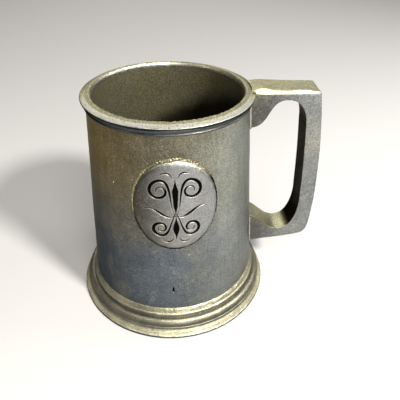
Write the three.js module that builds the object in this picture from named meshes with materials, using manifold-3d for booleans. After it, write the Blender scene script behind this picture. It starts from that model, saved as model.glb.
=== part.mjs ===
// A cast pewter tankard without a lid. Millimetres, +Z up. The origin is on the body's axis,
// in the plane that the foot stands on. The handle points along +X and the plaque faces -Y.
import * as THREE from "three";
import { mergeVertices } from "three/addons/utils/BufferGeometryUtils.js";
import Module from "manifold-3d";

const wasm = await Module();
wasm.setup();

// Overall sizes
const HEIGHT = 120; // foot to lip
const BODY_FOOT_R = 46.5; // outside of the body just above the foot
const BODY_TOP_R = 39.95; // outside of the body just below the collar
const WALL = 2.8; // body wall
const CLEARANCE = 0.3; // between each piece and its neighbours

// Lip and collar
const LIP_HEIGHT = 2.3;
const LIP_SPREAD = 2.3; // how far the lip stands out beyond the body
const LIP_FALL = 0.5; // its top drops this much towards its outer edge
const LIP_FLARE = 1; // the mouth's edge eases outwards by this much
const LIP_FLARE_DEPTH = 1.9;
const COLLAR_HEIGHT = 3;
const COLLAR_PROUD = 1.05; // how far the collar stands out beyond the body
const SPIGOT_DEPTH = 0.9; // step turned into each end of the body, where a ring slides on

// Foot
const FOOT_HEIGHT = 12.4;
const FOOT_SPREAD = 8.5; // how far the foot stands out beyond the body
const FOOT_EDGE = 1; // upright edge at the floor
const BEAD_HEIGHT = 1.8;
const BEAD_PROUD = 0.45;

// Floor disc and its solder fillet
const FLOOR_THICKNESS = 3;
const FLOOR_RECESS = 0.6; // the disc is set up off the table
const FLOOR_FILLET = 2.2;

// Handle: an upright grip between two arms, with flat sides
const HANDLE_WIDTH = 14.5;
const HANDLE_RISE = 0.6; // its top stands this much above the lip
const FINGER_GAP = 28.2; // body to grip, half way between the two roots
const GRIP_DEPTH = 8.4;
const GRIP_BOW = 5.7; // the top corner stands this far inside the fullest part of the grip
const HANDLE_EDGE = 1; // rounding along the edges
const UPPER_ROOT_HEIGHT = 19.1;
const UPPER_ARM_DEPTH = 4.1;
const LOWER_ROOT_BOTTOM = 26.6; // above the table
const LOWER_ROOT_HEIGHT = 18.1;
const LOWER_ARM_DEPTH = 8.1;
const LOWER_ARM_RISE = 4.2; // the underside climbs this much towards its outer corner
const TOP_FALL = 1.3; // the top face drops this much towards its outer corner

// Plaque
const PLAQUE_HEIGHT = 47;
const PLAQUE_WIDTH = 39.6; // measured round the body
const PLAQUE_THICKNESS = 1.8;
const PLAQUE_SHOULDER = 1.2;
const PLAQUE_DROP = 11; // below the collar
const PLAQUE_TURN = THREE.MathUtils.degToRad(-88); // direction that it faces

// Solder seams round the handle's roots and the plaque
const SEAM_WIDTH = 1;
const SEAM_THICKNESS = 0.8;

// Facets
const TURNED_FACES = 72;
const PLAQUE_FACES = 48;
const PLAQUE_RINGS = 4;
const CURVE_FACES = 3;

// Heights and radii that follow from these sizes
const lipBottom = HEIGHT - LIP_HEIGHT;
const collarTop = lipBottom - CLEARANCE;
const collarBottom = collarTop - COLLAR_HEIGHT;
const bodyTop = collarBottom - CLEARANCE; // top of the visible body
const beadBottom = FOOT_HEIGHT + CLEARANCE;
const bodyFoot = beadBottom + BEAD_HEIGHT + CLEARANCE; // bottom of the visible body
const floorTop = FLOOR_RECESS + FLOOR_THICKNESS;
const lipRadius = BODY_TOP_R + LIP_SPREAD;
const collarRadius = BODY_TOP_R + COLLAR_PROUD;
const footRadius = BODY_FOOT_R + FOOT_SPREAD;

// Radii of the tapered wall at a height
const bodyRadius = (z) =>
  THREE.MathUtils.mapLinear(z, bodyFoot, bodyTop, BODY_FOOT_R, BODY_TOP_R);
const boreRadius = (z) => bodyRadius(z) - WALL;
const spigotRadius = (z) => bodyRadius(z) - SPIGOT_DEPTH;

const tankard = new THREE.Group();

function metal(color, roughness) {
  return new THREE.MeshStandardMaterial({ color, roughness, metalness: 0.9 });
}

function addPiece(name, geometry, material, height = 0) {
  const piece = new THREE.Mesh(geometry, material);
  piece.name = name;
  piece.position.z = height;
  tankard.add(piece);
}

// A turned piece: its outline runs up the outside and down the inside, in radius and height.
function turned(outline, faces = TURNED_FACES) {
  const points = outline.getPoints(CURVE_FACES);
  return new THREE.LatheGeometry(points, faces).rotateX(Math.PI / 2);
}

function solidOf(geometry) {
  const bare = geometry.clone();
  bare.deleteAttribute("normal");
  bare.deleteAttribute("uv");
  const merged = mergeVertices(bare, 1e-3);
  return new wasm.Manifold(
    new wasm.Mesh({
      numProp: 3,
      vertProperties: merged.attributes.position.array,
      triVerts: new Uint32Array(merged.index.array),
    }),
  );
}

function geometryOf(solid) {
  const mesh = solid.getMesh();
  const geometry = new THREE.BufferGeometry();
  geometry.setAttribute("position", new THREE.BufferAttribute(mesh.vertProperties, 3));
  geometry.setIndex(new THREE.BufferAttribute(mesh.triVerts, 1));
  geometry.computeVertexNormals();
  return geometry;
}

// The body: a tapered wall with a shallow step at each end for the foot and the collar
function makeBarrel() {
  const outline = new THREE.Path();
  outline.moveTo(boreRadius(FLOOR_RECESS), FLOOR_RECESS);
  outline.lineTo(spigotRadius(FLOOR_RECESS), FLOOR_RECESS);
  outline.lineTo(spigotRadius(bodyFoot), bodyFoot);
  outline.lineTo(BODY_FOOT_R, bodyFoot);
  outline.lineTo(BODY_TOP_R, bodyTop);
  outline.lineTo(spigotRadius(bodyTop), bodyTop);
  outline.lineTo(spigotRadius(collarTop), collarTop);
  outline.lineTo(boreRadius(collarTop), collarTop);
  outline.closePath();
  addPiece("barrel", turned(outline), metal(0x85857b, 0.5));
}

// The lip: a ring with a rounded outer edge, a top that falls outwards and a flared mouth
function makeLip() {
  const inner = boreRadius(lipBottom);
  const round = (LIP_HEIGHT - LIP_FALL) / 2;
  const flareBottom = LIP_HEIGHT - LIP_FLARE_DEPTH;
  const outline = new THREE.Path();
  outline.moveTo(inner, 0);
  outline.lineTo(lipRadius - round, 0);
  outline.absarc(lipRadius - round, round, round, -Math.PI / 2, Math.PI / 2, false);
  outline.lineTo(inner + LIP_FLARE, LIP_HEIGHT);
  outline.absellipse(
    inner + LIP_FLARE,
    flareBottom,
    LIP_FLARE,
    LIP_FLARE_DEPTH,
    Math.PI / 2,
    Math.PI,
    false,
    0,
  );
  outline.closePath();
  addPiece("lip_ring", turned(outline), metal(0xb1a987, 0.45), lipBottom);
}

// The collar: a smooth band with rounded edges, slid over the top of the body
function makeCollar() {
  const round = COLLAR_PROUD / 2;
  const outline = new THREE.Path();
  outline.moveTo(spigotRadius(collarBottom) + CLEARANCE, 0);
  outline.lineTo(collarRadius - round, 0);
  outline.absarc(collarRadius - round, round, round, -Math.PI / 2, 0, false);
  outline.lineTo(collarRadius, COLLAR_HEIGHT - round);
  outline.absarc(collarRadius - round, COLLAR_HEIGHT - round, round, 0, Math.PI / 2, false);
  outline.lineTo(spigotRadius(collarTop) + CLEARANCE, COLLAR_HEIGHT);
  outline.closePath();
  addPiece("collar_band", turned(outline), metal(0x5f6366, 0.35), collarBottom);
}

// The foot: two rolls, a fine fillet and a sloping flange, cast in one ring
function makeFoot() {
  const bore = (z) => spigotRadius(z) + CLEARANCE;
  const at = (across, up) => [BODY_FOOT_R + across * FOOT_SPREAD, up * FOOT_HEIGHT];
  const outline = new THREE.Path();
  outline.moveTo(bore(0), 0);
  outline.lineTo(footRadius, 0);
  outline.lineTo(footRadius, FOOT_EDGE);
  outline.quadraticCurveTo(...at(0.88, 0.27), ...at(0.77, 0.35)); // flange
  outline.quadraticCurveTo(...at(0.73, 0.38), ...at(0.72, 0.45)); // hollow above it
  outline.lineTo(...at(0.66, 0.475)); // fine fillet
  outline.lineTo(...at(0.68, 0.5));
  outline.quadraticCurveTo(...at(0.62, 0.72), ...at(0.3, 0.83)); // lower roll
  outline.lineTo(...at(0.25, 0.86));
  outline.quadraticCurveTo(...at(0.24, 1), ...at(0.05, 1)); // upper roll
  outline.lineTo(bore(FOOT_HEIGHT), FOOT_HEIGHT);
  outline.closePath();
  addPiece("foot_ring", turned(outline), metal(0xb6b194, 0.4));
}

// The grainy bead of solder in the corner between the body and the foot
function makeFootBead() {
  const outer = BODY_FOOT_R + BEAD_PROUD;
  const outline = new THREE.Path();
  outline.moveTo(spigotRadius(beadBottom) + CLEARANCE, 0);
  outline.lineTo(outer, 0);
  outline.quadraticCurveTo(outer, BEAD_HEIGHT, BODY_FOOT_R - BEAD_PROUD, BEAD_HEIGHT);
  outline.lineTo(spigotRadius(bodyFoot) + CLEARANCE, BEAD_HEIGHT);
  outline.closePath();
  addPiece("foot_bead", turned(outline), metal(0x9c9160, 0.6), beadBottom);
}

// The floor: a disc inside the body, a little above the table
function makeFloor() {
  const radius = boreRadius(floorTop) - CLEARANCE;
  const outline = new THREE.Path();
  outline.moveTo(0, 0);
  outline.lineTo(radius, 0);
  outline.lineTo(radius, FLOOR_THICKNESS);
  outline.lineTo(0, FLOOR_THICKNESS);
  addPiece("base_plate", turned(outline), metal(0x7b7969, 0.5), FLOOR_RECESS);
}

// The hollow-faced solder fillet that makes the corner of the floor tight
function makeFloorSolder() {
  const bottom = floorTop + CLEARANCE;
  const edge = (z) => boreRadius(bottom + z) - CLEARANCE;
  const outline = new THREE.Path();
  outline.moveTo(edge(0) - FLOOR_FILLET, 0);
  outline.lineTo(edge(0), 0);
  outline.lineTo(edge(FLOOR_FILLET), FLOOR_FILLET);
  outline.quadraticCurveTo(edge(0) - FLOOR_FILLET / 4, FLOOR_FILLET / 4, edge(0) - FLOOR_FILLET, 0);
  addPiece("base_solder", turned(outline), metal(0x6e6a55, 0.6), bottom);
}

// The body, collar and lip as one solid, grown by a clearance: what the handle is cut to fit
function bodyEnvelope(grow) {
  const above = HEIGHT * 2;
  const outline = new THREE.Path();
  outline.moveTo(0, bodyFoot);
  outline.lineTo(BODY_FOOT_R + grow, bodyFoot);
  outline.lineTo(BODY_TOP_R + grow, bodyTop);
  outline.lineTo(BODY_TOP_R + grow, collarBottom - grow);
  outline.lineTo(collarRadius + grow, collarBottom - grow);
  outline.lineTo(collarRadius + grow, lipBottom - grow);
  outline.lineTo(lipRadius + grow, lipBottom - grow);
  outline.lineTo(lipRadius + grow, above);
  outline.lineTo(0, above);
  return solidOf(turned(outline));
}

// The handle's side outline in X and Z, running into the body at both roots
function handleOutline() {
  const upperRoot = HEIGHT - UPPER_ROOT_HEIGHT;
  const lowerRoot = LOWER_ROOT_BOTTOM + LOWER_ROOT_HEIGHT;
  const middle = (upperRoot + lowerRoot) / 2;
  const inside = BODY_TOP_R / 2; // well inside the wall, where it is cut away
  const gripIn = bodyRadius(middle) + FINGER_GAP;
  const full = gripIn + GRIP_DEPTH + 0.6; // fullest part of the outer face
  const top = HEIGHT + HANDLE_RISE;
  const corner = top - TOP_FALL;
  const heel = LOWER_ROOT_BOTTOM + LOWER_ARM_RISE;
  const crest = corner - UPPER_ARM_DEPTH; // top of the finger gap
  const trough = LOWER_ROOT_BOTTOM + LOWER_ARM_DEPTH; // bottom of the gap
  const bodyTopEdge = bodyRadius(upperRoot);
  const bodyLowEdge = bodyRadius(lowerRoot);
  const crestX = THREE.MathUtils.lerp(bodyTopEdge, gripIn, 0.56);
  const troughX = THREE.MathUtils.lerp(bodyLowEdge, gripIn, 0.64);
  const cornerX = full - GRIP_BOW;

  const s = new THREE.Shape();
  s.moveTo(inside, top);
  s.lineTo(lipRadius, top);
  s.lineTo(cornerX - 1.5, corner);
  s.quadraticCurveTo(cornerX - 0.4, corner, cornerX - 0.2, corner - 1.2);
  s.bezierCurveTo(cornerX + 3.9, corner - 22.6, full + 1.6, middle - 11, full - 0.7, heel + 6.7);
  s.quadraticCurveTo(full - 1.5, heel + 0.6, full - 5.3, heel);
  s.quadraticCurveTo(troughX, heel - LOWER_ARM_RISE * 0.6, bodyLowEdge, LOWER_ROOT_BOTTOM);
  s.lineTo(inside, LOWER_ROOT_BOTTOM);
  s.lineTo(inside, lowerRoot);
  s.lineTo(bodyLowEdge, lowerRoot);
  s.bezierCurveTo(bodyLowEdge + 4.4, lowerRoot, troughX - 6.6, trough, troughX, trough);
  s.bezierCurveTo(gripIn - 2.2, trough, gripIn + 1, lowerRoot - 0.7, gripIn + 1, lowerRoot + 10.3);
  s.bezierCurveTo(gripIn + 0.4, middle, gripIn - 1, upperRoot - 9, gripIn - 1.9, upperRoot - 1);
  s.bezierCurveTo(gripIn - 2.2, upperRoot + 8, crestX + 7.5, crest, crestX, crest);
  s.bezierCurveTo(crestX - 10, crest, bodyTopEdge + 9.7, upperRoot + 0.6, bodyTopEdge, upperRoot);
  s.lineTo(inside, upperRoot);
  s.closePath();
  return s;
}

// The handle before it is fitted to the body, grown all round by a clearance
function rawHandle(grow) {
  const geometry = new THREE.ExtrudeGeometry(handleOutline(), {
    depth: HANDLE_WIDTH - 2 * HANDLE_EDGE + 2 * grow,
    bevelThickness: HANDLE_EDGE,
    bevelSize: HANDLE_EDGE,
    bevelOffset: grow - HANDLE_EDGE,
    bevelSegments: 2,
    curveSegments: 10,
  });
  geometry.translate(0, 0, HANDLE_EDGE - HANDLE_WIDTH / 2 - grow);
  return solidOf(geometry.rotateX(Math.PI / 2));
}

function makeHandle() {
  const fitted = rawHandle(0).subtract(bodyEnvelope(CLEARANCE));
  addPiece("handle", geometryOf(fitted), metal(0x9a9c98, 0.5));
}

// A flat strip of solder that lies on the body round a root of the handle
function makeHandleSolder(name, bottom, top) {
  const outline = new THREE.Path();
  const inner = (z) => bodyRadius(z) + CLEARANCE;
  outline.moveTo(inner(bottom), bottom);
  outline.lineTo(inner(bottom) + SEAM_THICKNESS, bottom);
  outline.lineTo(inner(top) + SEAM_THICKNESS, top);
  outline.lineTo(inner(top), top);
  outline.closePath();
  const seam = solidOf(turned(outline))
    .intersect(rawHandle(CLEARANCE + SEAM_WIDTH))
    .subtract(rawHandle(CLEARANCE));
  addPiece(name, geometryOf(seam), metal(0xa8a590, 0.45));
}

// Bends a round disc in the XY plane into an oval that lies on the front of the body
function layOnBody(geometry) {
  const centre = bodyTop - PLAQUE_DROP - PLAQUE_HEIGHT / 2;
  const across = bodyRadius(centre);
  const stretch = PLAQUE_HEIGHT / PLAQUE_WIDTH;
  const place = geometry.attributes.position;
  for (let i = 0; i < place.count; i++) {
    const turn = PLAQUE_TURN + place.getX(i) / across;
    const z = centre + place.getY(i) * stretch;
    const r = bodyRadius(z) + CLEARANCE + place.getZ(i);
    place.setXYZ(i, r * Math.cos(turn), r * Math.sin(turn), z);
  }
  return geometry;
}

// The plaque: an oval disc with a bevelled shoulder
function makePlaque() {
  const edge = PLAQUE_WIDTH / 2;
  const face = edge - PLAQUE_SHOULDER;
  const outline = new THREE.Path();
  outline.moveTo(0, 0);
  for (let i = 1; i <= PLAQUE_RINGS; i++) outline.lineTo((edge * i) / PLAQUE_RINGS, 0);
  outline.lineTo(edge, PLAQUE_THICKNESS / 3);
  outline.quadraticCurveTo(edge, PLAQUE_THICKNESS, face, PLAQUE_THICKNESS);
  for (let i = PLAQUE_RINGS - 1; i >= 0; i--)
    outline.lineTo((face * i) / PLAQUE_RINGS, PLAQUE_THICKNESS);
  addPiece("medallion", layOnBody(turned(outline, PLAQUE_FACES)), metal(0x8d8d86, 0.45));
}

// The strip of solder round the plaque
function makePlaqueSolder() {
  const inner = PLAQUE_WIDTH / 2 + CLEARANCE;
  const outline = new THREE.Path();
  outline.moveTo(inner, 0);
  outline.lineTo(inner + SEAM_WIDTH, 0);
  outline.lineTo(inner, SEAM_THICKNESS);
  outline.closePath();
  addPiece("medallion_solder", layOnBody(turned(outline, PLAQUE_FACES)), metal(0x6b6448, 0.65));
}

makeBarrel();
makeLip();
makeCollar();
makeFoot();
makeFootBead();
makeFloor();
makeFloorSolder();
makeHandle();
makeHandleSolder(
  "handle_solder_upper",
  HEIGHT - UPPER_ROOT_HEIGHT - 2 * (SEAM_WIDTH + CLEARANCE),
  bodyTop,
);
makeHandleSolder(
  "handle_solder_lower",
  LOWER_ROOT_BOTTOM - 2 * (SEAM_WIDTH + CLEARANCE),
  LOWER_ROOT_BOTTOM + LOWER_ROOT_HEIGHT + 2 * (SEAM_WIDTH + CLEARANCE),
);
makePlaque();
makePlaqueSolder();

export default tankard;
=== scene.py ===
import math

import bmesh
import bpy
from mathutils import Matrix, Quaternion, Vector, kdtree, noise


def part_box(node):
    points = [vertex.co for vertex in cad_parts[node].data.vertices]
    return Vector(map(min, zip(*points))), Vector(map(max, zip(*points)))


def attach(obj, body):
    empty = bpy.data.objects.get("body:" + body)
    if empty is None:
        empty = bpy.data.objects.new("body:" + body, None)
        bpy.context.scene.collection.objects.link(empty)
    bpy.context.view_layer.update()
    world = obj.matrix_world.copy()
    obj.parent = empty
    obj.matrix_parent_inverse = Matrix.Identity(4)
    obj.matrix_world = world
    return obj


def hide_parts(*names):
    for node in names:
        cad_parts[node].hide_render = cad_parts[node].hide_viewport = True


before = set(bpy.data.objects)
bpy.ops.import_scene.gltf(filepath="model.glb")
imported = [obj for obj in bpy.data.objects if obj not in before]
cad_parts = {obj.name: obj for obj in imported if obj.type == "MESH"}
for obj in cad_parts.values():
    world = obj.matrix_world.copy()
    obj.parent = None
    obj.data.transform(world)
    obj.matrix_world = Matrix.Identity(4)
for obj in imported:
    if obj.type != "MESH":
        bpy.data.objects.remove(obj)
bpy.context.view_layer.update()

# ---- Camera -----------------------------------------------------------------------------------
# A camera about 25 cm from the cup, above its near side, looking down into the mouth. It is turned
# a little about its own line of sight.
camera_data = bpy.data.cameras.new("camera")
camera_data.sensor_width = 36
camera_data.lens = 39.25
camera = bpy.data.objects.new("camera", camera_data)
bpy.context.scene.collection.objects.link(camera)
camera.location = (0, -0.2031, 0.1991)
aim = Vector((0.01606, 0, 0.0521))
roll = Quaternion((0, 0, 1), math.radians(0.67))
camera.rotation_mode = "QUATERNION"
camera.rotation_quaternion = (aim - camera.location).to_track_quat("-Z", "Y") @ roll
bpy.context.scene.camera = camera

# ---- Floor disc -------------------------------------------------------------------------------
# A flat pewter disc soldered into the foot of the body. It was faced on a lathe, which left fine
# rings in both of its sides and a small centre mark underneath.
MM = 0.001  # metres in a millimetre


def line(start, end, count):
    """Points in radius and height along a straight line, its end left out."""
    return [Vector(start).lerp(Vector(end), i / count) for i in range(count)]


def turned(outline, steps):
    """A bmesh turned about the axis from a closed outline in millimetres. Steps are a multiple of 8."""
    bm = bmesh.new()
    ring = [bm.verts.new((radius * MM, 0, height * MM)) for radius, height in outline]
    edges = [bm.edges.new(pair) for pair in zip(ring, ring[1:] + ring[:1])]
    bmesh.ops.spin(
        bm, geom=ring + edges, cent=(0, 0, 0), axis=(0, 0, 1), dvec=(0, 0, 0),
        angle=math.tau / 8, steps=steps // 8,
    )
    for angle in (45, 90, 180):
        copy = bmesh.ops.duplicate(bm, geom=bm.verts[:] + bm.edges[:] + bm.faces[:])["geom"]
        moved = [v for v in copy if isinstance(v, bmesh.types.BMVert)]
        bmesh.ops.rotate(bm, verts=moved, matrix=Matrix.Rotation(math.radians(angle), 3, "Z"))
        bmesh.ops.remove_doubles(bm, verts=bm.verts, dist=1e-6)
    bmesh.ops.recalc_face_normals(bm, faces=bm.faces)
    return bm


def piece_from(bm, name, materials, sharp=38):
    """Makes the piece that stands for the CAD node of the same name."""
    mesh = bpy.data.meshes.new(name)
    bm.to_mesh(mesh)
    bm.free()
    mesh.shade_smooth()
    mesh.set_sharp_from_angle(angle=math.radians(sharp))
    for material in materials:
        mesh.materials.append(material)
    piece = bpy.data.objects.new(name + "_finished", mesh)
    bpy.context.scene.collection.objects.link(piece)
    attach(piece, "root")
    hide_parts(name)
    return piece


def add(tree, kind, sockets=None, **settings):
    """Adds a shader node, and sets or links its inputs."""
    node = tree.nodes.new("ShaderNode" + kind)
    for name, value in settings.items():
        setattr(node, name, value)
    for socket, value in (sockets or {}).items():
        if isinstance(value, bpy.types.NodeSocket):
            tree.links.new(value, node.inputs[socket])
        else:
            node.inputs[socket].default_value = value
    return node


def math_node(tree, operation, *values):
    """One Math node's result."""
    return add(tree, "Math", dict(enumerate(values)), operation=operation).outputs[0]


def ramp(tree, value, low, high, to_low=0.0, to_high=1.0):
    """A smooth step from one value to another, held at both ends."""
    sockets = {"Value": value, "From Min": low, "From Max": high, "To Min": to_low, "To Max": to_high}
    return add(tree, "MapRange", sockets, interpolation_type="SMOOTHSTEP").outputs[0]


def mix_color(tree, share, first, second, blend="MIX"):
    """The second colour mixed over the first by its share."""
    node = add(tree, "Mix", data_type="RGBA", blend_type=blend)
    for socket, value in ((0, share), (6, first), (7, second)):
        if isinstance(value, bpy.types.NodeSocket):
            tree.links.new(value, node.inputs[socket])
        else:
            node.inputs[socket].default_value = value
    return node.outputs[2]


def new_group(name, takes, gives):
    """A shader node group, its input node and its output node."""
    tree = bpy.data.node_groups.new(name, "ShaderNodeTree")
    for label, kind, value in takes:
        socket = tree.interface.new_socket(label, in_out="INPUT", socket_type="NodeSocket" + kind)
        socket.default_value = value
    for label, kind in gives:
        tree.interface.new_socket(label, in_out="OUTPUT", socket_type="NodeSocket" + kind)
    return tree, tree.nodes.new("NodeGroupInput").outputs, tree.nodes.new("NodeGroupOutput").inputs


def millimetres(tree):
    """The surface's own place, in millimetres."""
    place = add(tree, "TexCoord").outputs["Object"]
    return add(tree, "VectorMath", {0: place, "Scale": 1000}, operation="SCALE").outputs[0]


def noise_at(tree, place, size, detail, roughness=0.6, distortion=0.0):
    """Cloudy noise whose lumps are about this many millimetres across."""
    scale = math_node(tree, "DIVIDE", 1.0, size)
    sockets = {
        "Vector": place, "Scale": scale, "Detail": detail,
        "Roughness": roughness, "Distortion": distortion,
    }
    return add(tree, "TexNoise", sockets).outputs[0]


# Cast pewter: the sand's grain, small pits, and a skin between a cool colour and a warm one. It is
# warm in patches, and warm on faces that look up, which is painted light from above.
cast_pewter, given, made = new_group(
    "cast_pewter",
    [
        ("Cool", "Color", (0.3, 0.31, 0.31, 1)),
        ("Warm", "Color", (0.4, 0.37, 0.24, 1)),
        ("Dark", "Color", (0.06, 0.055, 0.04, 1)),
        ("Warmth", "Float", 0.0),
        ("Blotch", "Float", 0.3),
        ("Grain", "Float", 0.7),
        ("Speckle", "Float", 0.25),
        ("Gloss", "Float", 0.42),
    ],
    [("Color", "Color"), ("Roughness", "Float"), ("Height", "Float")],
)
tree = cast_pewter
place = millimetres(tree)
grain = noise_at(tree, place, given["Grain"], 4, 0.7)
lumps = noise_at(tree, place, 2.6, 3)
mottle = noise_at(tree, place, 11, 4)
cloud = noise_at(tree, place, 34, 3, 0.55, 0.4)
facing = add(tree, "SeparateXYZ", {0: add(tree, "NewGeometry").outputs["Normal"]}).outputs["Z"]
# Faces that look up turn warm: painted light from above.
up = ramp(tree, facing, 0.15, 0.85)
broad = ramp(tree, cloud, 0.42, 0.66, -0.2, 1)
warm = math_node(tree, "ADD", broad, ramp(tree, mottle, 0.35, 0.65, -0.5, 0.5))
warm = math_node(tree, "MULTIPLY", warm, given["Blotch"])
warm = math_node(tree, "ADD", warm, math_node(tree, "MULTIPLY", up, 0.85))
warm = add(tree, "Math", {0: warm, 1: given["Warmth"]}, operation="ADD", use_clamp=True).outputs[0]
color = mix_color(tree, warm, given["Cool"], given["Warm"])
speckle = math_node(tree, "MULTIPLY", given["Speckle"], ramp(tree, grain, 0.3, 0.7, -1, 1))
brightness = math_node(tree, "ADD", 1.0, speckle)
brightness = math_node(tree, "MULTIPLY", brightness, ramp(tree, mottle, 0.3, 0.7, 0.94, 1.05))
brightness = math_node(tree, "MULTIPLY", brightness, ramp(tree, lumps, 0.3, 0.7, 0.93, 1.06))
tone = add(tree, "CombineColor", {0: brightness, 1: brightness, 2: brightness}).outputs[0]
color = mix_color(tree, 1.0, color, tone, "MULTIPLY")
pits = math_node(tree, "MULTIPLY", ramp(tree, grain, 0.36, 0.27), ramp(tree, lumps, 0.45, 0.6))
tree.links.new(mix_color(tree, pits, color, given["Dark"]), made["Color"])
rough = math_node(tree, "ADD", given["Gloss"], ramp(tree, grain, 0.3, 0.7, -0.07, 0.1))
rough = math_node(tree, "ADD", rough, math_node(tree, "MULTIPLY", pits, 0.3))
tree.links.new(rough, made["Roughness"])
height = math_node(tree, "MULTIPLY", grain, 0.8)
height = math_node(tree, "ADD", height, math_node(tree, "MULTIPLY", lumps, 0.35))
tree.links.new(height, made["Height"])


def pewter(name, bump, **values):
    """A metal whose colour, gloss and grain come from the cast pewter group, with its own values."""
    material = bpy.data.materials.new(name)
    material.use_nodes = True
    tree = material.node_tree
    shader = tree.nodes["Principled BSDF"]
    shader.inputs["Metallic"].default_value = 1
    shader.inputs["Specular Tint"].default_value = (0.4, 0.4, 0.38, 1)
    skin = add(tree, "Group", node_tree=cast_pewter)
    for socket, value in values.items():
        skin.inputs[socket].default_value = (*value, 1) if hasattr(value, "__len__") else value
    tree.links.new(skin.outputs["Color"], shader.inputs["Base Color"])
    tree.links.new(skin.outputs["Roughness"], shader.inputs["Roughness"])
    relief = add(tree, "Bump", {"Height": skin.outputs["Height"], "Strength": 1, "Distance": bump * MM})
    tree.links.new(relief.outputs["Normal"], shader.inputs["Normal"])
    return material


disc_low, disc_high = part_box("base_plate")
radius, low, high = disc_high.x / MM, disc_low.z / MM, disc_high.z / MM
outline = line((0, low + 0.5), (1.2, low), 3) + line((1.2, low), (radius, low), 60)
outline += line((radius, low), (radius, high), 4) + line((radius, high), (0, high), 60)
outline += [Vector((0, high))]
for point in outline:
    if 1.5 < point.x < radius - 0.5:
        point.y += 0.03 * math.sin(point.x * 9)
disc = turned(outline, 144)
turned_metal = pewter(
    "turned_pewter", 0.03, Cool=(0.25, 0.25, 0.22), Warm=(0.3, 0.27, 0.17), Grain=0.9, Gloss=0.45,
)
piece_from(disc, "base_plate", [turned_metal])

# ---- Body -------------------------------------------------------------------------------------
# A tapered pewter wall cast in sand, with a step turned at each end for the rings that fit there.
# It is grained and finely scratched outside. A casting pit is left low on the front.
wall_low, wall_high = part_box("barrel")
bead_low, bead_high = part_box("foot_bead")
band_low, band_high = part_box("collar_band")
CLEARANCE = 0.3
WALL = 2.8
SPIGOT = 0.9
BODY_FOOT = Vector((bead_high.x / MM - 0.45, bead_high.z / MM + CLEARANCE))
BODY_TOP = Vector((band_high.x / MM - 1.05, band_low.z / MM - CLEARANCE))
TAPER = (BODY_TOP.x - BODY_FOOT.x) / (BODY_TOP.y - BODY_FOOT.y)


def body_radius(height):
    return BODY_FOOT.x + (height - BODY_FOOT.y) * TAPER


def uneven(bm, depth, size, where=None):
    """Moves the surface in and out, as a sand mould does. Depth and lump size in millimetres."""
    bm.normal_update()
    for v in [v for v in bm.verts if where is None or where(v.co)]:
        v.co += v.normal * depth * MM * noise.noise(v.co / (size * MM))


low, high = wall_low.z / MM, wall_high.z / MM
corner = [
    (body_radius(low) - WALL, low), (body_radius(low) - SPIGOT, low),
    (BODY_FOOT.x - SPIGOT, BODY_FOOT.y), tuple(BODY_FOOT), tuple(BODY_TOP),
    (BODY_TOP.x - SPIGOT, BODY_TOP.y), (body_radius(high) - SPIGOT, high),
    (body_radius(high) - WALL, high),
]
counts = (2, 10, 1, 86, 1, 3, 3, 100)
outline = [p for a, b, n in zip(corner, corner[1:] + corner[:1], counts) for p in line(a, b, n)]
wall = turned(outline, 288)
uneven(wall, 0.16, 22)
uneven(wall, 0.07, 6)

PIT_ANGLE, PIT_HEIGHT = math.radians(-91), 28
PIT = Vector((math.cos(PIT_ANGLE), math.sin(PIT_ANGLE), 0)) * body_radius(PIT_HEIGHT) * MM
PIT.z = PIT_HEIGHT * MM
near_pit = [f for f in wall.faces if (f.calc_center_median() - PIT).length < 4 * MM]
bmesh.ops.subdivide_edges(
    wall, edges=list({e for f in near_pit for e in f.edges}), cuts=4, use_grid_fill=True,
)
wall.normal_update()
pit = wall.verts.layers.float.new("pit")
for v in wall.verts:
    across, down = (v.co.x - PIT.x) / MM, (PIT.z - v.co.z) / MM
    outside = v.co.xy.length / MM > body_radius(v.co.z / MM) - WALL / 2
    if outside and v.co.y < 0 and abs(across) < 2 and abs(down) < 3:
        width = 0.55 + 0.35 * max(-1, min(1, down / 1.5))
        v[pit] = max(0, 1 - math.hypot(across / width, down / 2.1)) ** 0.5
        v.co -= v.normal * 0.8 * MM * v[pit]
for f in wall.faces:
    middle = f.calc_center_median()
    f.material_index = middle.xy.length / MM < body_radius(middle.z / MM) - WALL / 2

# Hairline scratches in two directions, in patches.
hairlines, given, made = new_group("hairlines", [("Amount", "Float", 1.0)], [("Mark", "Float")])
tree = hairlines
marks = []
for turn, spacing, length in (((0.2, 0.7, 0.1), 0.3, 16), ((-0.3, -1.0, 0.4), 0.34, 12)):
    stretched = add(tree, "Mapping", {"Vector": millimetres(tree), "Rotation": turn}).outputs[0]
    stretched = add(
        tree, "VectorMath", {0: stretched, 1: (1 / spacing, 1 / spacing, 1 / length)}, operation="MULTIPLY",
    ).outputs[0]
    line_noise = add(tree, "TexNoise", {"Vector": stretched, "Scale": 1, "Detail": 1}).outputs[0]
    marks.append(ramp(tree, line_noise, 0.62, 0.72))
patches = ramp(tree, noise_at(tree, millimetres(tree), 9, 2), 0.46, 0.62)
mark = math_node(tree, "MULTIPLY", math_node(tree, "MAXIMUM", *marks), patches)
tree.links.new(math_node(tree, "MULTIPLY", mark, given["Amount"]), made["Mark"])


def skin_of(material):
    """The cast pewter group in a material."""
    return next(node for node in material.node_tree.nodes if node.type == "GROUP")


def lay_over(material, share, color, blend="MIX"):
    """Mixes a colour over whatever feeds a material's Base Color."""
    tree = material.node_tree
    base = tree.nodes["Principled BSDF"].inputs["Base Color"]
    tree.links.new(mix_color(tree, share, base.links[0].from_socket, color, blend), base)


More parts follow.
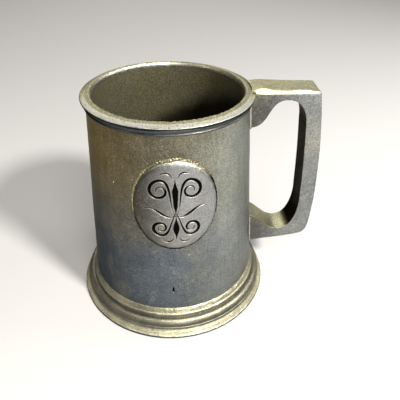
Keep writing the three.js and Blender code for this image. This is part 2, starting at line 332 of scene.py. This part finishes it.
def scratch(material, amount):
    """Lays hairline scratches on a metal: each one is bright, and is cut in."""
    tree = material.node_tree
    mark = add(tree, "Group", {"Amount": amount}, node_tree=hairlines).outputs["Mark"]
    lay_over(material, mark, (0.75, 0.74, 0.7, 1))
    relief = next(node for node in tree.nodes if node.type == "BUMP").inputs["Height"]
    depth = math_node(tree, "MULTIPLY", mark, 0.6)
    tree.links.new(math_node(tree, "SUBTRACT", relief.links[0].from_socket, depth), relief)


# Outside it is olive above and blue-grey below, lighter towards the handle, darker away from it and
# behind. Part of that is tarnish and part is the shade of a room, kept in the colour.
outside_metal = pewter(
    "cast_outside", 0.36, Warm=(0.2, 0.18, 0.12), Blotch=0.2, Grain=0.7, Speckle=0.38, Gloss=0.36,
)
tree = outside_metal.node_tree
spot = add(tree, "SeparateXYZ", {0: millimetres(tree)})
drift = math_node(tree, "SUBTRACT", noise_at(tree, millimetres(tree), 15, 5), 0.5)
drift = math_node(tree, "MULTIPLY", drift, 22)
across = math_node(tree, "ADD", spot.outputs["X"], drift)
upward = math_node(tree, "ADD", spot.outputs["Z"], drift)
away = ramp(tree, across, 2, -44)
towards = ramp(tree, across, 2, 36)
above = mix_color(tree, towards, (0.112, 0.104, 0.075, 1), (0.34, 0.36, 0.32, 1))
lower = ramp(tree, upward, 104, 70)
golden = mix_color(tree, lower, (0.22, 0.165, 0.07, 1), (0.155, 0.143, 0.108, 1))
above = mix_color(tree, away, above, golden)
below = mix_color(tree, towards, (0.12, 0.14, 0.16, 1), (0.235, 0.25, 0.245, 1))
below = mix_color(tree, away, below, (0.068, 0.078, 0.092, 1))
behind = ramp(tree, spot.outputs["Y"], -6, 24)
above = mix_color(tree, behind, above, (0.19, 0.18, 0.14, 1))
below = mix_color(tree, behind, below, (0.12, 0.135, 0.15, 1))
# Tarnish and painted shade together, mixed by height.
tarnish_and_shade = mix_color(tree, ramp(tree, upward, 88, 42), above, below)
run = add(tree, "VectorMath", {0: millimetres(tree), 1: (0.4, 0.4, 0.03)}, operation="MULTIPLY").outputs[0]
streaks = add(tree, "TexNoise", {"Vector": run, "Scale": 1, "Detail": 3}).outputs[0]
streak = ramp(tree, streaks, 0.35, 0.65, 0.94, 1.07)
streak = add(tree, "CombineColor", {0: streak, 1: streak, 2: streak}).outputs[0]
streaked = mix_color(tree, 1.0, tarnish_and_shade, streak, "MULTIPLY")
tree.links.new(streaked, skin_of(outside_metal).inputs["Cool"])
hole = add(tree, "Attribute", attribute_name="pit").outputs["Fac"]
lay_over(outside_metal, ramp(tree, hole, 0.2, 0.6), (0.01, 0.01, 0.01, 1))
scratch(outside_metal, 0.3)
inside_metal = pewter(
    "cast_inside", 0.34, Cool=(0.098, 0.091, 0.056), Warm=(0.08, 0.066, 0.024), Blotch=0.3, Grain=0.6,
    Speckle=0.6, Gloss=0.42,
)
# Below a slanting line it is nearly black. That is the dark of the cup's unlit depth, kept in the
# colour: it is not a stain, and it stays there under any light.
tree = inside_metal.node_tree
tree.nodes["Principled BSDF"].inputs["Metallic"].default_value = 0.45
spot = add(tree, "SeparateXYZ", {0: millimetres(tree)})
slant = math_node(tree, "MULTIPLY", spot.outputs["X"], 0.55)
ragged = math_node(tree, "MULTIPLY", noise_at(tree, millimetres(tree), 8, 3), 6)
level = math_node(tree, "ADD", math_node(tree, "SUBTRACT", spot.outputs["Z"], slant), ragged)
lay_over(inside_metal, ramp(tree, level, 99, 86, 0, 0.93), (0.004, 0.003, 0.0005, 1))
piece_from(wall, "barrel", [outside_metal, inside_metal])

# ---- Solder in the corner of the floor --------------------------------------------------------
# A hollow-faced fillet of solder run round the inside, which makes the floor tight.


def arc(centre, across, up, first, last, count):
    """Points along a round or oval arc, from one angle in degrees to another."""
    turns = [math.radians(first + (last - first) * i / count) for i in range(count + 1)]
    return [Vector((centre[0] + across * math.cos(t), centre[1] + up * math.sin(t))) for t in turns]


low = disc_high.z / MM + 0.05
edge = body_radius(low) - WALL - 0.02
fillet = line((edge - 2.4, low), (edge, low), 6) + line((edge, low), (edge - 0.15, low + 2.4), 6)
fillet += arc((edge - 2.45, low + 2.45), 2.3, 2.3, 0, -90, 8)
fillet = turned(fillet, 240)
uneven(fillet, 0.18, 2.2)
solder_metal = pewter("solder", 0.1, Cool=(0.42, 0.41, 0.36), Warm=(0.45, 0.4, 0.26), Grain=0.5, Gloss=0.36)
piece_from(fillet, "base_solder", [solder_metal])

# ---- Foot -------------------------------------------------------------------------------------
# One cast ring pushed up over the body: two rolls, a fine fillet and a flange that slopes out to
# a thin upright edge.
foot_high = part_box("foot_ring")[1]
outer, top = foot_high.x / MM, foot_high.z / MM


def bore(height):
    """The radius of the ring's hole at a height."""
    return body_radius(height) - SPIGOT + 0.1


outline = line((bore(0), 0.4), (outer - 4, 0), 6) + line((outer - 4, 0), (outer - 0.25, 0), 4)
outline += arc((outer - 0.25, 0.25), 0.25, 0.25, -90, 0, 3)
outline += arc((outer - 0.45, 0.75), 0.45, 0.45, 0, 58, 5)
outline += line((outer - 0.5, 1.4), (outer - 1.75, 3.7), 5)[1:]
outline += arc((outer - 1.3, 5.0), 1.2, 1.3, 225, 180, 6)
outline += arc((outer - 2.9, 5.3), 0.4, 0.4, 0, 85, 5)
outline += [Vector((outer - 3.1, 5.75)), Vector((outer - 2.95, 6.1))]
outline += arc((outer - 5.6, 6.2), 2.9, 3.6, 2, 82, 12)
outline += [Vector((outer - 6.1, 9.6))]
outline += arc((outer - 7.9, 10.8), 1.7, 1.6, -25, 88, 9)
outline += line((bore(top) + 0.1, top), (bore(0), 0.4), 12)
foot = turned(outline, 320)
uneven(foot, 0.1, 14)
uneven(foot, 0.04, 2.5)
for v in foot.verts:
    v.co.z = max(v.co.z, 0)
foot_metal = pewter(
    "foot_pewter", 0.28, Cool=(0.16, 0.157, 0.125), Warm=(0.38, 0.36, 0.265), Grain=0.6, Speckle=0.5,
    Gloss=0.37,
)
# By height, the flange is lighter, a painted highlight, and the roll, the groove above it and the upright
# edge are darker, painted shade.
tree = foot_metal.node_tree
rise = add(tree, "SeparateXYZ", {0: millimetres(tree)}).outputs["Z"]
ragged = math_node(tree, "MULTIPLY", noise_at(tree, millimetres(tree), 2, 2), 0.5)
rise = math_node(tree, "ADD", rise, ragged)
upright_shade = ramp(tree, rise, 1.8, 1.2)
flange_highlight = ramp(tree, rise, 4.5, 3.4)
roll = math_node(tree, "MULTIPLY", ramp(tree, rise, 10, 9.3, 0, 0.4), ramp(tree, rise, 5.4, 6))
groove_shade = math_node(tree, "MULTIPLY", ramp(tree, rise, 9.5, 9.8, 0, 0.3), ramp(tree, rise, 10.3, 10))
lay_over(foot_metal, flange_highlight, (2.1, 2.05, 1.85, 1), "MULTIPLY")
lay_over(foot_metal, roll, (0.05, 0.05, 0.04, 1))
lay_over(foot_metal, groove_shade, (0.02, 0.02, 0.016, 1))
lay_over(foot_metal, upright_shade, (0.07, 0.08, 0.09, 1))
piece_from(foot, "foot_ring", [foot_metal])

# ---- Bead between body and foot ---------------------------------------------------------------
# Solder built up in grains in the corner between the two castings, tarnished gold and brown.
low, high = bead_low.z / MM - 0.25, bead_high.z / MM + 0.3
inner = body_radius(low) - SPIGOT + 0.1
bead = line((inner, low), (BODY_FOOT.x + 0.7, low), 3)
bead += line((BODY_FOOT.x + 0.7, low), (BODY_FOOT.x + 1.6, low - 0.5), 2)
bead += line((BODY_FOOT.x + 1.6, low - 0.5), (BODY_FOOT.x + 0.75, high - 1.15), 7)
bead += line((BODY_FOOT.x + 0.75, high - 1.15), (BODY_FOOT.x - 0.1, high - 0.1), 6)
bead += line((BODY_FOOT.x - 0.4, high - 0.1), (inner, high - 0.1), 2)
bead += line((inner, high - 0.1), (inner, low), 3)
bead = turned(bead, 900)
uneven(bead, 0.2, 0.85, lambda co: math.hypot(co.x, co.y) > (BODY_FOOT.x - 0.2) * MM)
uneven(bead, 0.15, 3)
bead_metal = pewter(
    "gilt_bead", 0.14, Cool=(0.25, 0.235, 0.165), Warm=(0.33, 0.31, 0.21), Dark=(0.06, 0.045, 0.02),
    Blotch=0.8, Grain=0.6, Speckle=0.45, Gloss=0.42,
)
piece_from(bead, "foot_bead", [bead_metal], 70)

# ---- Collar -----------------------------------------------------------------------------------
# A smooth dark moulding slid over the top of the body, just under the lip.
low, high, outer = band_low.z / MM, band_high.z / MM, band_high.x / MM
inner = BODY_TOP.x - SPIGOT + 0.1
outline = line((inner, low), (outer - 0.6, low), 3) + arc((outer - 0.6, low + 0.5), 0.6, 0.5, -90, 50, 8)
outline += [Vector((outer - 0.45, low + 1.1))]
outline += arc((outer - 1.3, high - 0.9), 1.1, 1.1, 0, 90, 8) + line((inner, high + 0.2), (inner, low), 4)
collar = turned(outline, 288)
uneven(collar, 0.06, 9)
collar_metal = pewter(
    "collar_pewter", 0.06, Cool=(0.075, 0.084, 0.088), Warm=(0.07, 0.07, 0.062), Grain=0.6, Speckle=0.2,
    Gloss=0.32,
)
piece_from(collar, "collar_band", [collar_metal])

# ---- Lip --------------------------------------------------------------------------------------
# A cast ring soldered over the top of the body and the collar. Its top falls a little outwards and
# keeps the grain of the sand, its outer edge slopes down to a small round, and its mouth is rough.
lip_low, lip_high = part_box("lip_ring")
low, high, outer = lip_low.z / MM, lip_high.z / MM, lip_high.x / MM
mouth = body_radius(low) - WALL
crown = high - 0.5
outline = line((mouth + 0.02, low - 0.2), (outer - 0.5, low - 0.1), 8)
outline += arc((outer - 0.5, low + 0.4), 0.5, 0.5, -90, 0, 5)
outline += arc((outer - 0.55, low + 0.45), 0.5, 0.5, 5, 45, 4)
outline += line((outer - 0.35, low + 0.9), (outer - 2.2, crown - 0.1), 8)
outline += line((outer - 2.5, crown), (mouth + 1.3, high - 0.03), 14)
outline += arc((mouth + 1.2, high - 2), 1.2, 1.95, 88, 180, 12)
lip = turned(outline, 448)
uneven(lip, 0.12, 16)
uneven(lip, 0.07, 1.5)
uneven(
    lip, 0.3, 1.2,
    lambda co: (mouth + 0.3) * MM < co.xy.length < (mouth + 1.7) * MM and co.z > crown * MM,
)
lip_metal = pewter(
    "lip_pewter", 0.14, Cool=(0.5, 0.49, 0.42), Warm=(0.5, 0.475, 0.31), Warmth=0.0, Grain=0.62, Speckle=0.5,
    Gloss=0.36,
)
# The slope is near white on the near side, a highlight kept in the colour, and dark at its foot, where its
# faces look down: painted shade.
tree = lip_metal.node_tree
under = add(tree, "SeparateXYZ", {0: add(tree, "NewGeometry").outputs["Normal"]}).outputs["Z"]
flat = add(tree, "VectorMath", {0: millimetres(tree), 1: (1, 1, 0)}, operation="MULTIPLY").outputs[0]
across = add(tree, "VectorMath", {0: flat}, operation="LENGTH").outputs["Value"]
# Faces under the slope's foot are darkened: painted shade.
under_shade = math_node(tree, "MULTIPLY", ramp(tree, under, 0.8, 0.6), ramp(tree, across, outer - 1.5, outer - 1))
near = add(tree, "SeparateXYZ", {0: millimetres(tree)}).outputs["Y"]
slope = math_node(tree, "MULTIPLY", ramp(tree, across, outer - 2.8, outer - 2.2), ramp(tree, near, 6, -22))
lay_over(lip_metal, slope, (2.3, 2.3, 2.6, 1), "MULTIPLY")
lay_over(lip_metal, under_shade, (0.025, 0.03, 0.035, 1))
piece_from(lip, "lip_ring", [lip_metal])

# ---- Handle -----------------------------------------------------------------------------------
# A solid casting with flat sides, coped to fit the body at two roots. Its edges were broken with a
# file, most of all along the near side of the top, where a thumb rests.


def curve(points, count=20):
    """Points along a Bezier curve through its control points, its end left out."""
    path = []
    for i in range(count):
        rest = [Vector(p) for p in points]
        while len(rest) > 1:
            rest = [a.lerp(b, i / count) for a, b in zip(rest, rest[1:])]
        path.append(rest[0])
    return path


handle_low, handle_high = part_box("handle")
top, bottom, reach = handle_high.z / MM, handle_low.z / MM, handle_high.x / MM
half_width = handle_high.y / MM
UPPER_ROOT = high - 19.1
LOWER_ROOT = bottom + 18.1
FACE = reach - 0.1
GRIP = FACE - 9
CORNER = Vector((FACE - 5.7, top - 1.3))
CREST = Vector((body_radius(UPPER_ROOT) * 0.44 + GRIP * 0.56, CORNER.y - 4.1))
TROUGH = Vector((body_radius(LOWER_ROOT) * 0.36 + GRIP * 0.64, bottom + 8.1))
HEEL = bottom + 4.2
BAND_R = band_high.x / MM


def envelope(height):
    """How far the body, collar and lip reach out at a height."""
    if height > low - 0.15:
        return outer + 0.02 if height < crown + 0.05 else outer - 1.9
    return BAND_R + 0.1 if height > BODY_TOP.y + 0.15 else body_radius(height) + 0.1


middle = (UPPER_ROOT + LOWER_ROOT) / 2
steps = [crown + 0.1, crown, low - 0.1, low - 0.2, BODY_TOP.y + 0.2, BODY_TOP.y + 0.1]
outline = [Vector((envelope(z) - 0.7, z)) for z in reversed(steps)]
outline += line((outer - 2.6, crown + 0.3), (outer + 1.2, top - 0.05), 5)
outline += line((outer + 1.2, top - 0.05), (CORNER.x - 1.5, CORNER.y), 15)
outline += curve([
    (CORNER.x - 1.5, CORNER.y), (CORNER.x - 0.4, CORNER.y), (CORNER.x - 0.2, CORNER.y - 1.2),
], 5)
outline += curve([
    (CORNER.x - 0.2, CORNER.y - 1.2), (CORNER.x + 3.9, CORNER.y - 22.6),
    (FACE + 1.6, middle - 11), (FACE - 0.7, HEEL + 6.7),
], 40)
outline += curve([(FACE - 0.7, HEEL + 6.7), (FACE - 1.5, HEEL + 0.6), (FACE - 5.3, HEEL)], 12)
outline += curve([(FACE - 5.3, HEEL), (TROUGH.x, HEEL - 2.5), (envelope(bottom) - 0.7, bottom)], 14)
outline += line((envelope(bottom) - 0.7, bottom), (envelope(LOWER_ROOT) - 0.7, LOWER_ROOT), 8)
outline += line((envelope(LOWER_ROOT) - 0.7, LOWER_ROOT), (envelope(LOWER_ROOT), LOWER_ROOT), 1)
outline += curve([
    (envelope(LOWER_ROOT), LOWER_ROOT), (envelope(LOWER_ROOT) + 4.4, LOWER_ROOT),
    (TROUGH.x - 6.6, TROUGH.y), tuple(TROUGH),
], 22)
outline += curve([
    tuple(TROUGH), (GRIP - 2.2, TROUGH.y), (GRIP + 1, LOWER_ROOT - 0.7), (GRIP + 1, LOWER_ROOT + 10.3),
], 24)
outline += curve([
    (GRIP + 1, LOWER_ROOT + 10.3), (GRIP + 0.4, middle),
    (GRIP - 1, UPPER_ROOT - 9), (GRIP - 1.9, UPPER_ROOT - 1),
], 20)
outline += curve([
    (GRIP - 1.9, UPPER_ROOT - 1), (GRIP - 2.2, UPPER_ROOT + 8), (CREST.x + 7.5, CREST.y), tuple(CREST),
], 20)
outline += curve([
    tuple(CREST), (CREST.x - 10, CREST.y), (envelope(UPPER_ROOT) + 9.7, UPPER_ROOT + 0.6),
    (envelope(UPPER_ROOT), UPPER_ROOT),
], 24)
outline += [Vector((envelope(UPPER_ROOT), UPPER_ROOT)), Vector((envelope(UPPER_ROOT) - 0.7, UPPER_ROOT))]

handle = bmesh.new()
side = handle.faces.new([handle.verts.new((p.x * MM, -half_width * MM, p.y * MM)) for p in outline])
far_side = bmesh.ops.extrude_face_region(handle, geom=[side])["geom"]
moved = [v for v in far_side if isinstance(v, bmesh.types.BMVert)]
bmesh.ops.translate(handle, verts=moved, vec=(0, 2 * half_width * MM, 0))
bmesh.ops.recalc_face_normals(handle, faces=handle.faces)
outside = [
    e for e in handle.edges
    if abs(e.verts[0].co.y - e.verts[1].co.y) < 1e-7
    and all(v.co.x / MM > envelope(v.co.z / MM) - 0.3 for v in e.verts)
]
bmesh.ops.bevel(
    handle, geom=outside, offset=0.9 * MM, offset_type="OFFSET", affect="EDGES",
    segments=3, profile=0.5, material=-1, clamp_overlap=True,
)
CHAMFER = 2.4
top_slope = (CORNER.y - top) / (CORNER.x - outer)
cuts = [((0, 0, (bottom + 2 * i) * MM), (0, 0, 1)) for i in range(1, 47)]
cuts += [(((envelope(bottom) + 2 * i) * MM, 0, 0), (1, 0, 0)) for i in range(1, 18)]
cuts += [((0, (i - 3) * 2 * MM, 0), (0, 1, 0)) for i in range(7)]
cuts += [((0, (CHAMFER - half_width) * MM, 0), (0, 1, 0))]
cuts += [((outer * MM, 0, (top - CHAMFER) * MM), (-top_slope, 0, 1))]
for place, facing in cuts:
    whole = handle.verts[:] + handle.edges[:] + handle.faces[:]
    bmesh.ops.bisect_plane(handle, geom=whole, dist=1e-6, plane_co=place, plane_no=facing)
for v in handle.verts:
    x, y, z = v.co / MM
    reached = envelope(z)
    if math.hypot(x, y) < reached:
        v.co.x = math.sqrt(reached * reached - y * y) * MM
    elif x < CORNER.x:
        depth = top + (x - outer) * top_slope - z + y + half_width
        wanted = CHAMFER - 1.5 * (x - outer) / (CORNER.x - outer) + 0.25 * noise.noise((x / 5, 0, 7))
        if depth < wanted:
            v.co.y += (wanted - depth) / 2 * MM
            v.co.z -= (wanted - depth) / 2 * MM
uneven(handle, 0.25, 13, lambda co: co.xy.length > (envelope(co.z / MM) + 0.5) * MM)
handle_metal = pewter(
    "handle_pewter", 0.2, Warm=(0.6, 0.57, 0.38), Blotch=0.12, Grain=0.7, Speckle=0.42, Gloss=0.4,
)
# It is lighter away from the body, and dark on the faces turned to the body: mostly shade, kept in
# the colour.
tree = handle_metal.node_tree
spot = add(tree, "SeparateXYZ", {0: millimetres(tree)}).outputs["X"]
graded = mix_color(tree, ramp(tree, spot, 44, 68), (0.09, 0.089, 0.08, 1), (0.205, 0.212, 0.207, 1))
tree.links.new(graded, skin_of(handle_metal).inputs["Cool"])
inward = add(tree, "SeparateXYZ", {0: add(tree, "NewGeometry").outputs["Normal"]}).outputs["X"]
lay_over(handle_metal, ramp(tree, inward, -0.45, -0.85), (0.016, 0.014, 0.005, 1))
scratch(handle_metal, 0.2)
piece_from(handle, "handle", [handle_metal])

# ---- Solder round the handle's roots ----------------------------------------------------------
# A thin bead of solder in the corner all round each root, wiped smooth while it was soft.


def bead_along(path, thickness):
    """A round bead along a path in millimetres. Its first end is left open, its last is closed."""
    bm = bmesh.new()
    ring = bmesh.ops.create_circle(bm, segments=10, radius=thickness * MM, cap_ends=True)["verts"]
    for i, point in enumerate(path):
        along = (path[min(i + 1, len(path) - 1)] - path[max(i - 1, 0)]).normalized()
        turn = along.to_track_quat("Z", "X").to_matrix().to_4x4()
        if i:
            end = [f for f in bm.faces if all(v in ring for v in f.verts)]
            grown = bmesh.ops.extrude_face_region(bm, geom=end)["geom"]
            bmesh.ops.delete(bm, geom=end, context="FACES_ONLY")
            ring = [v for v in grown if isinstance(v, bmesh.types.BMVert)]
            bmesh.ops.transform(bm, verts=ring, matrix=placed.inverted())
        placed = Matrix.Translation(point * MM) @ turn
        bmesh.ops.transform(bm, verts=ring, matrix=placed)
    bmesh.ops.recalc_face_normals(bm, faces=bm.faces)
    return bm


def on_wall(y, z):
    """The point of the body's right side at this Y and height."""
    return Vector((math.sqrt(body_radius(z) ** 2 - y * y) + 0.25, y, z))


EDGE = half_width + 0.1
for name, start, foot_of_seam in (
    ("handle_solder_upper", BODY_TOP.y - 0.8, UPPER_ROOT),
    ("handle_solder_lower", LOWER_ROOT, bottom),
):
    path = [on_wall(-EDGE, start + (foot_of_seam - start) * i / 24) for i in range(25)]
    path += [on_wall(EDGE * (i / 12 - 1), foot_of_seam - 0.35) for i in range(1, 24)]
    path += [on_wall(EDGE, foot_of_seam + (start - foot_of_seam) * i / 24) for i in range(25)]
    if name == "handle_solder_lower":
        path += [on_wall(EDGE * (1 - i / 12), start + 0.35) for i in range(1, 24)] + [path[0]]
    seam = bead_along(path, 0.55)
    uneven(seam, 0.3, 2.4)
    piece_from(seam, name, [solder_metal], 80)

# ---- Plaque -----------------------------------------------------------------------------------
# An oval pewter plaque bent to the body and soldered on, with a soft shoulder. Its engraving is a
# mirrored flourish of volutes about a leaf, cut with a graver and filled with black wax.
PLAQUE_FACING = math.radians(-88)
plaque_low, plaque_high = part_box("medallion")
plaque_middle = (plaque_low.z + plaque_high.z) / 2 / MM
plaque_up = (plaque_high.z - plaque_low.z) / 2 / MM
PLAQUE_ACROSS = 19.8
THICK = 1.95


def bent(u, w, rise):
    """Where a point of a flat plaque goes when it is bent round the body."""
    angle = PLAQUE_FACING + u / body_radius(plaque_middle)
    size = body_radius(plaque_middle + w) + rise
    return Vector((size * math.cos(angle), size * math.sin(angle), plaque_middle + w)) * MM


def volute(centre, start, end, first, turns, count=70):
    """Points along a spiral that winds in on its centre."""
    points = []
    for i in range(count + 1):
        size = start + (end - start) * (i / count) ** 0.8
        angle = math.radians(first + 360 * turns * i / count)
        points.append(Vector((centre[0] + size * math.cos(angle), centre[1] + size * math.sin(angle))))
    return points


right_half = [
    (
        curve([(0, -5), (3.6, 2), (0.6, 14.6), (7, 14.6)], 50) + volute((7, 9.2), 5.4, 1.3, 90, -1.3),
        0.12, 0.68,
    ),
    (
        curve([(0, -3), (2.8, -7), (2.4, -15), (6.8, -15)], 50) + volute((6.8, -10.8), 4.2, 1.1, -90, 1.3),
        0.12, 0.64,
    ),
    (curve([(0.6, -4), (5, -7.5), (9, 3.4), (14.8, -0.8)], 50), 0.12, 0.58),
    (curve([(1.2, 15.6), (2.2, 18.8), (5, 19), (7.4, 16.9)], 30), 0.08, 0.36),
    (curve([(1.2, -16.4), (2.2, -19.2), (4.6, -19.4), (6.6, -17.4)], 30), 0.08, 0.36),
]
strokes = right_half + [
    ([Vector((-p.x, p.y)) for p in points], thin, thick) for points, thin, thick in right_half
]
strokes.append((line((0, 15), (0, -3.6), 80), 0.08, 1.8))
strokes.append((line((0, -5), (0, -17.5), 60), 0.08, 1.35))
engraved = [
    (point, thin + (thick - thin) * math.sin(math.pi * i / (len(points) - 1)) ** 2)
    for points, thin, thick in strokes for i, point in enumerate(points)
]
nearest = kdtree.KDTree(len(engraved))
for i, (point, _) in enumerate(engraved):
    nearest.insert((*point, 0), i)
nearest.balance()

shoulder = PLAQUE_ACROSS - 2.1
outline = line((0, 0.15), (PLAQUE_ACROSS, 0.15), 20) + line((PLAQUE_ACROSS, 0.15), (PLAQUE_ACROSS, 0.5), 1)
outline += arc((shoulder, 0.55), 2.1, THICK - 0.55, 0, 80, 10)
outline += line((shoulder - 0.1, THICK), (0, THICK), 122)
plaque = turned(outline + [Vector((0, THICK))], 560)
wax = plaque.verts.layers.float.new("wax")
burr_and_glint = plaque.verts.layers.float.new("burr_and_glint")
for v in plaque.verts:
    u, w, rise = v.co.x / MM, v.co.y / MM * plaque_up / PLAQUE_ACROSS, v.co.z / MM
    if v.co.xy.length > (shoulder - 0.4) * MM:
        rough = 1 + 0.008 * noise.noise((u / 2.2, w / 2.2, 3))
        u, w = u * rough, w * rough
    elif rise > THICK - 0.05:
        place, index, distance = nearest.find((u, w, 0))
        past = distance - engraved[index][1]
        v[wax] = max(0.0, min(1.0, 0.85 - past / 0.16))
        v[burr_and_glint] = max(0.0, 1 - abs(past - 0.3) / 0.16)
        rise += 0.04 * v[burr_and_glint] - 0.5 * max(0.0, min(1.0, 0.3 - past / 0.4))
    v.co = bent(u, w, rise)
bmesh.ops.recalc_face_normals(plaque, faces=plaque.faces)
uneven(plaque, 0.1, 7)
plaque_metal = pewter(
    "plaque_pewter", 0.15, Warm=(0.5, 0.47, 0.36), Warmth=-0.15, Blotch=0.15, Grain=0.5, Speckle=0.4,
    Gloss=0.38,
)
# It is darker on the side away from the handle: mostly shade, kept in the colour.
tree = plaque_metal.node_tree
spot = add(tree, "SeparateXYZ", {0: millimetres(tree)}).outputs["X"]
graded = mix_color(tree, ramp(tree, spot, -18, 8), (0.07, 0.067, 0.055, 1), (0.26, 0.262, 0.257, 1))
tree.links.new(graded, skin_of(plaque_metal).inputs["Cool"])
scratch(plaque_metal, 0.3)
waxed = add(tree, "Attribute", attribute_name="wax").outputs["Fac"]
burr_glint = add(tree, "Attribute", attribute_name="burr_and_glint").outputs["Fac"]
# The burrs beside the cuts are raised, and their colour is lightened as a painted glint.
lay_over(plaque_metal, math_node(tree, "MULTIPLY", burr_glint, 0.3), (0.6, 0.59, 0.55, 1))
lay_over(plaque_metal, waxed, (0.004, 0.0035, 0.003, 1))
piece_from(plaque, "medallion", [plaque_metal], 60)

# ---- Solder round the plaque ------------------------------------------------------------------
# A rough hand-laid fillet. It is lighter on the side away from the handle and nearly black below and
# towards the handle: light and shade, kept in the colour.
outline = [(PLAQUE_ACROSS - 0.2, 0), (PLAQUE_ACROSS + 0.95, 0), (PLAQUE_ACROSS + 1, 0.15)]
outline += [(PLAQUE_ACROSS + 0.6, 0.3), (PLAQUE_ACROSS + 0.2, 0.6), (PLAQUE_ACROSS - 0.2, 0.7)]
fillet = turned([p for a, b in zip(outline, outline[1:] + outline[:1]) for p in line(a, b, 3)], 640)
for v in fillet.verts:
    u, w, rise = v.co.x / MM, v.co.y / MM * plaque_up / PLAQUE_ACROSS, v.co.z / MM
    v.co = bent(u, w, rise * (0.75 + 0.45 * noise.noise((u / 3, w / 3, 5))))
bmesh.ops.recalc_face_normals(fillet, faces=fillet.faces)
uneven(fillet, 0.35, 0.9)
fillet_metal = pewter(
    "plaque_solder", 0.15, Cool=(0.15, 0.138, 0.09), Warm=(0.22, 0.2, 0.125), Dark=(0.02, 0.018, 0.012),
    Blotch=0.8, Grain=0.6, Speckle=0.5, Gloss=0.45,
)
tree = fillet_metal.node_tree
spot = add(tree, "SeparateXYZ", {0: millimetres(tree)})
lay_over(fillet_metal, ramp(tree, spot.outputs["X"], -6, -15), (2.6, 2.5, 2.1, 1), "MULTIPLY")
slant = math_node(tree, "SUBTRACT", math_node(tree, "MULTIPLY", spot.outputs["X"], 0.55), spot.outputs["Z"])
ragged = noise_at(tree, millimetres(tree), 1.5, 3)
slant = math_node(tree, "ADD", slant, math_node(tree, "MULTIPLY", ragged, 10))
shade = ramp(tree, slant, -plaque_middle - 4, -plaque_middle + 4)
lay_over(fillet_metal, shade, (0.01, 0.009, 0.006, 1))
piece_from(fillet, "medallion_solder", [fillet_metal], 80)

# ---- Floor and light ----------------------------------------------------------------------------
# A pale paper floor and six soft round lamps: a small key high at the front right, and five larger
# ones that stand for the ceiling and the four walls of a room.
bm = bmesh.new()
bmesh.ops.create_circle(
    bm, cap_ends=True, segments=96, radius=6, matrix=Matrix.Translation((0, 0, -0.1 * MM)),
)
floor_mesh = bpy.data.meshes.new("floor")
bm.to_mesh(floor_mesh)
bm.free()
floor = bpy.data.objects.new("floor", floor_mesh)
bpy.context.scene.collection.objects.link(floor)
paper = bpy.data.materials.new("pale_paper")
paper.use_nodes = True
paper.node_tree.nodes["Principled BSDF"].inputs["Base Color"].default_value = (0.5, 0.49, 0.48, 1)
paper.node_tree.nodes["Principled BSDF"].inputs["Roughness"].default_value = 0.8
floor_mesh.materials.append(paper)


def soft_lamp(name, place, size, watts, colour):
    """A round lamp turned to the middle of the cup."""
    data = bpy.data.lights.new(name, "AREA")
    data.shape = "DISK"
    data.size = size
    data.energy = watts
    data.color = colour
    lamp = bpy.data.objects.new(name, data)
    bpy.context.scene.collection.objects.link(lamp)
    lamp.location = place
    lamp.rotation_mode = "QUATERNION"
    lamp.rotation_quaternion = (Vector((0, 0, 0.06)) - Vector(place)).to_track_quat("-Z", "Y")


soft_lamp("window", (0.42, -0.42, 0.62), 0.12, 12, (1, 0.98, 0.94))
soft_lamp("right_wall", (0.8, 0.1, 0.45), 0.5, 3, (0.97, 0.98, 1))
soft_lamp("ceiling", (0.1, -0.65, 0.9), 0.6, 5.8, (1, 0.97, 0.91))
soft_lamp("back_wall", (-0.05, 0.85, 0.72), 1.3, 4.5, (1, 0.97, 0.9))
soft_lamp("left_wall", (-0.75, -0.35, 0.65), 0.4, 1.5, (1, 0.97, 0.9))
soft_lamp("front_wall", (0.2, -1.05, 0.36), 0.8, 6, (1, 0.98, 0.94))
world = bpy.data.worlds.new("studio")
world.use_nodes = True
world.node_tree.nodes["Background"].inputs["Color"].default_value = (0.75, 0.78, 0.82, 1)
world.node_tree.nodes["Background"].inputs["Strength"].default_value = 0.14
bpy.context.scene.world = world
bpy.context.scene.view_settings.view_transform = "Standard"
